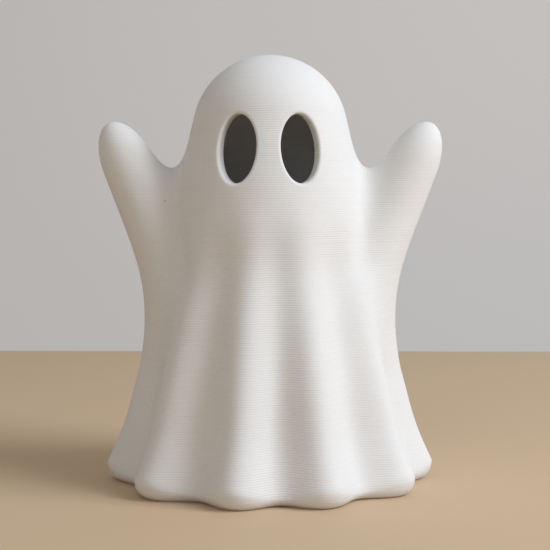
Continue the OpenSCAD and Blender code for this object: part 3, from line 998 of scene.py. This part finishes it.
@dataclass(frozen=True)
class Pinholes(Effect):
    """Round dips about points scattered in space, of which only a share is kept."""

    name: str = "pinholes"

    def make(self) -> bpy.types.NodeTree:
        """Make the node group.

        A dip is one less the distance from its point over the size, and not below zero. It is kept where
        a random number of its own is below the share.

        Returns:
            The node group, with the points' scale, the dips' size and their share as its values.
        """
        wiring = GroupWiring(self.name, {"Vector": Kind.VECTOR, "Scale": Kind.NUMBER, "Size": Kind.NUMBER,
                                         "Share": Kind.NUMBER}, {"Mask": Kind.NUMBER})
        given, compute = wiring.given, wiring.compute
        cells = wiring.add("ShaderNodeTexVoronoi", Vector=given["Vector"], Scale=given["Scale"])
        near = compute("SUBTRACT", 1.0, compute("DIVIDE", cells.outputs["Distance"], given["Size"]))
        own = wiring.add("ShaderNodeSeparateColor", Color=cells.outputs["Color"]).outputs["Red"]
        kept = compute("LESS_THAN", own, given["Share"])
        wiring.feed(wiring.results["Mask"], compute("MULTIPLY", compute("MAXIMUM", near, 0.0), kept))
        return wiring.tree


@dataclass(frozen=True)
class Mottle(Effect):
    """A colour that drifts between two with the sum of a broad and a fine noise, each by its share.

    The scale of the fine noise is a multiple of the broad one's.
    """

    name: str = "mottle"
    broad_detail: float = 3.0
    broad_share: float = 0.6
    fine_detail: float = 5.0
    fine_share: float = 0.4
    fine_scale: float = 14.0

    def make(self) -> bpy.types.NodeTree:
        """Make the node group.

        Returns:
            The node group, with the scale of the broad noise and both colours as its values.
        """
        wiring = GroupWiring(self.name, {"Vector": Kind.VECTOR, "Scale": Kind.NUMBER, "Light": Kind.COLOUR,
                                         "Dark": Kind.COLOUR}, {"Color": Kind.COLOUR, "Fac": Kind.NUMBER})
        given, compute = wiring.given, wiring.compute
        fine_scale = compute("MULTIPLY", given["Scale"], self.fine_scale)
        broad = wiring.add("ShaderNodeTexNoise", Vector=given["Vector"], Scale=given["Scale"],
                           Detail=self.broad_detail)
        fine = wiring.add("ShaderNodeTexNoise", Vector=given["Vector"], Scale=fine_scale,
                          Detail=self.fine_detail)
        both = compute("ADD", compute("MULTIPLY", broad.outputs["Fac"], self.broad_share),
                       compute("MULTIPLY", fine.outputs["Fac"], self.fine_share))
        wiring.feed(wiring.results["Color"], wiring.mix(both, given["Dark"], given["Light"]))
        wiring.feed(wiring.results["Fac"], both)
        return wiring.tree


def new_material(name: str) -> tuple[bpy.types.Material, Wiring, bpy.types.Node]:
    """Start a material.

    Args:
        name: Its name.

    Returns:
        The material, the wiring of its nodes, and its shader.
    """
    material = bpy.data.materials.new(name)
    material.use_nodes = True
    return material, Wiring(material.node_tree), material.node_tree.nodes["Principled BSDF"]


@dataclass(frozen=True)
class Bisque:
    """Matt unglazed white ceramic, built up in fine layers. Lengths are in metres.

    Attributes:
        painted_shade: Colour of the painted shade in grooves and pinholes, where shade falls.
        tone_scale: Scale of the mottling.
        pitch: Height of a layer.
        waver: How far the lines waver, in layers.
        pore_size: Radius of a pinhole, as a share of the distance between points.
        pore_share: Share of the points that are kept.
        pore_depth: Depth of a pinhole, as a multiple of the lines'.
        grain_height: Height of the grain, as a share of the lines'.
    """

    name: str = "bisque"
    light: Colour = (0.80, 0.79, 0.772, 1.0)
    dark: Colour = (0.74, 0.73, 0.712, 1.0)
    # Painted shade: a dark grey that is mixed into the grooves and pinholes, where shade falls.
    painted_shade: Colour = (0.42, 0.40, 0.37, 1.0)
    tone_scale: float = 35.0
    pitch: float = 0.0006
    waver: float = 0.25
    line_depth: float = 0.00004
    # How strongly the grooves are darkened with painted shade.
    groove_shade: float = 0.07
    pore_scale: float = 170.0
    pore_size: float = 0.075
    pore_share: float = 0.07
    # How strongly the pinholes are darkened with painted shade.
    pore_shade: float = 0.8
    pore_depth: float = 2.0
    grain_scale: float = 2600.0
    grain_detail: float = 3.0
    grain_height: float = 0.22
    roughness: float = 0.82
    specular: float = 0.3

    def build(self) -> bpy.types.Material:
        """Make the material: mottled, with painted shade darkening its grooves and pinholes, and a fine
        grain.

        Returns:
            The material.
        """
        material, wiring, shader = new_material(self.name)
        place = wiring.add("ShaderNodeTexCoord").outputs["Object"]
        tone = wiring.effect(Mottle(), place, Scale=self.tone_scale, Light=self.light, Dark=self.dark)
        lines = wiring.effect(LayerLines(), place, Pitch=self.pitch, Waver=self.waver)
        pores = wiring.effect(Pinholes(), place, Scale=self.pore_scale, Size=self.pore_size,
                              Share=self.pore_share)
        # Painted shade: the pinholes and the layer lines' grooves are darkened, as recesses are by shade.
        pore_shade = wiring.compute("MULTIPLY", pores.outputs["Mask"], self.pore_shade)
        painted_shade = wiring.compute("MULTIPLY_ADD", lines.outputs["Groove"], self.groove_shade, pore_shade)
        grain = wiring.add("ShaderNodeTexNoise", Vector=place, Scale=self.grain_scale,
                           Detail=self.grain_detail)
        raised = wiring.compute("MULTIPLY_ADD", grain.outputs["Fac"], self.grain_height,
                                lines.outputs["Height"])
        pore_depth = wiring.compute("MULTIPLY", pores.outputs["Mask"], self.pore_depth)
        height = wiring.compute("SUBTRACT", raised, pore_depth)
        bump = wiring.add("ShaderNodeBump", Height=height, Distance=self.line_depth)
        # The mottled colour darkens to the painted shade in grooves and pinholes.
        wiring.feed(shader.inputs["Base Color"], wiring.mix(painted_shade, tone.outputs["Color"], self.painted_shade))
        wiring.feed(shader.inputs["Normal"], bump.outputs["Normal"])
        wiring.feed(shader.inputs["Roughness"], self.roughness)
        wiring.feed(shader.inputs["Specular IOR Level"], self.specular)
        return material


@dataclass(frozen=True)
class Moulded:
    """Moulded plastic, metal or rubber with mottled colour and a fine grain, in metres.

    The roughness changes with the mottling, over rough_range.
    """

    name: str
    light: Tint
    dark: Tint
    roughness: float
    metallic: float = 0.0
    grain_scale: float = 900.0
    grain_depth: float = 0.00002
    tone_scale: float = 60.0
    rough_range: float = 0.16

    def build(self) -> bpy.types.Material:
        """Make the material.

        Returns:
            The material.
        """
        material, wiring, shader = new_material(self.name)
        place = wiring.add("ShaderNodeTexCoord").outputs["Object"]
        tone = wiring.effect(Mottle(), place, Scale=self.tone_scale, Light=(*self.light, 1.0),
                             Dark=(*self.dark, 1.0))
        rough = wiring.compute("MULTIPLY_ADD", tone.outputs["Fac"], self.rough_range,
                               self.roughness - self.rough_range / 2.0)
        grain = wiring.add("ShaderNodeTexNoise", Vector=place, Scale=self.grain_scale)
        bump = wiring.add("ShaderNodeBump", Height=grain.outputs["Fac"], Distance=self.grain_depth)
        wiring.feed(shader.inputs["Base Color"], tone.outputs["Color"])
        wiring.feed(shader.inputs["Roughness"], rough)
        wiring.feed(shader.inputs["Metallic"], self.metallic)
        wiring.feed(shader.inputs["Normal"], bump.outputs["Normal"])
        return material


def dress(finishes: dict[Moulded, list[str]]) -> None:
    """Give built solids their finishes.

    Args:
        finishes: For each finish, the names of the nodes that take it.
    """
    for finish, nodes in finishes.items():
        material = finish.build()
        for node in nodes:
            for place in bpy.data.objects[node].material_slots:
                place.material = material
            LOG.info("%s: %s", node, finish.name)


@dataclass(frozen=True)
class PullOutBase:
    """The base that plugs into the foot, which keeps its built solids."""

    cap: Moulded = Moulded("base_plastic", (0.76, 0.74, 0.69), (0.70, 0.68, 0.63), 0.55)
    grip: Moulded = Moulded("grip_silicone", (0.62, 0.62, 0.60), (0.55, 0.55, 0.53), 0.7)

    def build(self) -> None:
        """Dress the cap and the ring in its rim."""
        dress({self.cap: ["base_cap"], self.grip: ["grip_ring"]})


@dataclass(frozen=True)
class TeaLight:
    """The battery tea light, which keeps its built solids."""

    case: Moulded = Moulded("cup_plastic", (0.80, 0.80, 0.78), (0.74, 0.74, 0.72), 0.4)
    wax: Moulded = Moulded("wax_plastic", (0.78, 0.74, 0.62), (0.72, 0.67, 0.55), 0.45)
    flame: Moulded = Moulded("flame_plastic", (0.85, 0.68, 0.40), (0.80, 0.60, 0.32), 0.3)
    resin: Moulded = Moulded("led_resin", (0.82, 0.76, 0.52), (0.76, 0.70, 0.46), 0.15)
    steel: Moulded = Moulded("plated_steel", (0.62, 0.63, 0.64), (0.52, 0.53, 0.54), 0.28, 1.0, 1500.0)
    brass: Moulded = Moulded("contact_brass", (0.72, 0.55, 0.28), (0.60, 0.45, 0.22), 0.32, 1.0, 1500.0)
    knob: Moulded = Moulded("switch_plastic", (0.05, 0.05, 0.05), (0.03, 0.03, 0.03), 0.5)

    def build(self) -> None:
        """Dress the case, the flame and its diode, and the electrical parts."""
        dress({self.case: ["light_cup", "cell_holder", "battery_door"], self.wax: ["light_cover"],
               self.flame: ["flame_lens"], self.resin: ["led"], self.steel: ["led_leads", "coin_cell"],
               self.brass: ["cell_contact", "side_contact", "switch_wiper", "switch_plate"],
               self.knob: ["switch_knob"]})


def look_at(thing: bpy.types.Object, place: Place, target: Place) -> None:
    """Put a lamp or a camera in the scene, at its place and turned to a target.

    Args:
        thing: The lamp or the camera.
        place: Its place.
        target: The point that it faces.
    """
    thing.location = place
    thing.rotation_euler = (Vector(target) - Vector(place)).to_track_quat("-Z", "Y").to_euler()
    bpy.context.scene.collection.objects.link(thing)


@dataclass(frozen=True)
class Lamp:
    """A square area lamp, in metres and watts."""

    name: str
    place: Place
    side: float
    power: float
    colour: Tint

    def build(self, target: Place) -> None:
        """Hang the lamp.

        Args:
            target: The point that it faces.
        """
        data = bpy.data.lights.new(self.name, "AREA")
        data.size = self.side
        data.energy = self.power
        data.color = self.colour
        look_at(bpy.data.objects.new(self.name, data), self.place, target)


@dataclass(frozen=True)
class Studio:
    """Plain pale floor and wall, soft lamps, and the camera at the photograph's angle, in metres.

    Attributes:
        matt: Roughness of floor and wall.
        floor_drop: How far the floor lies below the foot.
        touch: Length under which a ray goes through the floor, as a multiple of that drop.
        stretch: How far the hole's directions are drawn out before the floor's edges cut them off.
        wall_z: Lower and upper edge of the wall.
        camera_turn: The camera's angle from the front, in radians.
    """

    floor_colour: Colour = (0.61, 0.45, 0.285, 1.0)
    wall_colour: Colour = (0.90, 0.87, 0.84, 1.0)
    matt: float = 0.7
    floor_drop: float = 0.00005
    touch: float = 3.0
    floor_side: float = 2.0
    floor_near: float = -1.5
    table_back: float = 0.315
    hole_r: float = 0.033
    hole_sides: int = 96
    stretch: float = 4.0
    wall_y: float = 1.1
    wall_z: tuple[float, float] = (-0.6, 1.6)
    lamps: tuple[Lamp, ...] = (Lamp("window", (0.80, -0.32, 0.66), 0.60, 10.5, (0.83, 0.90, 1.0)),
                               Lamp("fill", (-0.4, -1.0, 0.6), 0.9, 1.3, (0.97, 0.98, 1.0)))
    lamp_aim: Place = (0.0, 0.0, 0.06)
    room_colour: Colour = (1.0, 0.96, 0.92, 1.0)
    room_light: float = 0.35
    camera_distance: float = 0.40
    camera_height: float = 0.0823
    camera_turn: float = math.radians(1.0)
    aim: Place = (0.0014, 0.0, 0.058)
    lens: float = 92.3

    def plain(self, name: str, colour: Colour) -> bpy.types.Material:
        """Make a plain matt material that is clear from behind, and clear for rays that start close to it.

        So the foot shows from below, and isn't dark, though the floor lies right under it.

        Args:
            name: Name of the material.
            colour: Its colour.

        Returns:
            The material.
        """
        material, wiring, shader = new_material(name)
        wiring.feed(shader.inputs["Base Color"], colour)
        wiring.feed(shader.inputs["Roughness"], self.matt)
        ray = wiring.add("ShaderNodeLightPath").outputs["Ray Length"]
        touching = wiring.compute("LESS_THAN", ray, self.touch * self.floor_drop)
        behind = wiring.add("ShaderNodeNewGeometry").outputs["Backfacing"]
        clear = wiring.add("ShaderNodeBsdfTransparent")
        mix = wiring.add("ShaderNodeMixShader")
        share = wiring.compute("MAXIMUM", touching, behind)
        for entry, source in zip(mix.inputs, (share, shader.outputs[0], clear.outputs[0])):
            wiring.feed(entry, source)
        wiring.feed(material.node_tree.nodes["Material Output"].inputs["Surface"], mix.outputs[0])
        return material

    def sheet(self, name: str, points: list, faces: list, colour: Colour) -> None:
        """Add a flat sheet that belongs to the stage.

        Args:
            name: Name of the sheet.
            points: Its points, in metres.
            faces: The points of each face, by number.
            colour: Its colour.
        """
        mesh = bpy.data.meshes.new(name)
        mesh.from_pydata(points, [], faces)
        mesh.materials.append(self.plain(name + "_paint", colour))
        sheet = bpy.data.objects.new(name, mesh)
        bpy.context.scene.collection.objects.link(sheet)

    def floor(self) -> None:
        """Add the floor, with a round hole under the foot that the base comes out through.

        The figure covers the hole at rest. The floor's rim is the hole's circle, drawn out along the same
        directions and held within the floor's edges.
        """
        turns = np.arange(self.hole_sides) * 2 * math.pi / self.hole_sides
        ring = np.stack([np.cos(turns), np.sin(turns)], axis=-1)
        far = np.clip(ring * self.stretch * self.floor_side, [-self.floor_side, self.floor_near],
                      [self.floor_side, self.table_back])
        level = np.full((self.hole_sides, 1), -self.floor_drop)
        points = np.concatenate([np.hstack([ring * self.hole_r, level]), np.hstack([far, level])])
        near_ids = np.arange(self.hole_sides)
        far_ids = near_ids + self.hole_sides
        faces = np.stack([near_ids, far_ids, np.roll(far_ids, -1), np.roll(near_ids, -1)], axis=-1)
        self.sheet("floor", points.tolist(), faces.tolist(), self.floor_colour)

    def wall(self) -> None:
        """Add the upright wall behind the figure."""
        low, high = self.wall_z
        corners = [(-self.floor_side, low), (self.floor_side, low), (self.floor_side, high),
                   (-self.floor_side, high)]
        self.sheet("backdrop", [(x, self.wall_y, z) for x, z in corners], [(0, 1, 2, 3)], self.wall_colour)

    def light(self) -> None:
        """Hang the lamps and light the room evenly."""
        for lamp in self.lamps:
            lamp.build(self.lamp_aim)
        world = bpy.data.worlds.new("room")
        world.use_nodes = True
        room = world.node_tree.nodes["Background"]
        room.inputs["Color"].default_value = self.room_colour
        room.inputs["Strength"].default_value = self.room_light
        bpy.context.scene.world = world

    def camera(self) -> None:
        """Add the camera, in front of the figure and a little to the right."""
        data = bpy.data.cameras.new("camera")
        data.lens = self.lens
        camera = bpy.data.objects.new("camera", data)
        look_at(camera, (self.camera_distance * math.sin(self.camera_turn),
                         -self.camera_distance * math.cos(self.camera_turn), self.camera_height), self.aim)
        bpy.context.scene.camera = camera

    def build(self) -> None:
        """Set up the stage."""
        bpy.context.scene.view_settings.view_transform = "Standard"
        self.floor()
        self.wall()
        self.light()
        self.camera()


def main() -> None:
    """Set the stage, build the figure, and dress the base and the light."""
    logging.basicConfig(level=logging.INFO, format="%(name)s: %(message)s")
    Studio().build()
    shell = FigureShell().build(Bisque().build())
    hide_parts("ghost_shell")
    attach(shell, "figure")
    LOG.info("ghost_body: %d points, %d faces", len(shell.data.vertices), len(shell.data.polygons))
    PullOutBase().build()
    TeaLight().build()


if __name__ == "__main__":
    main()
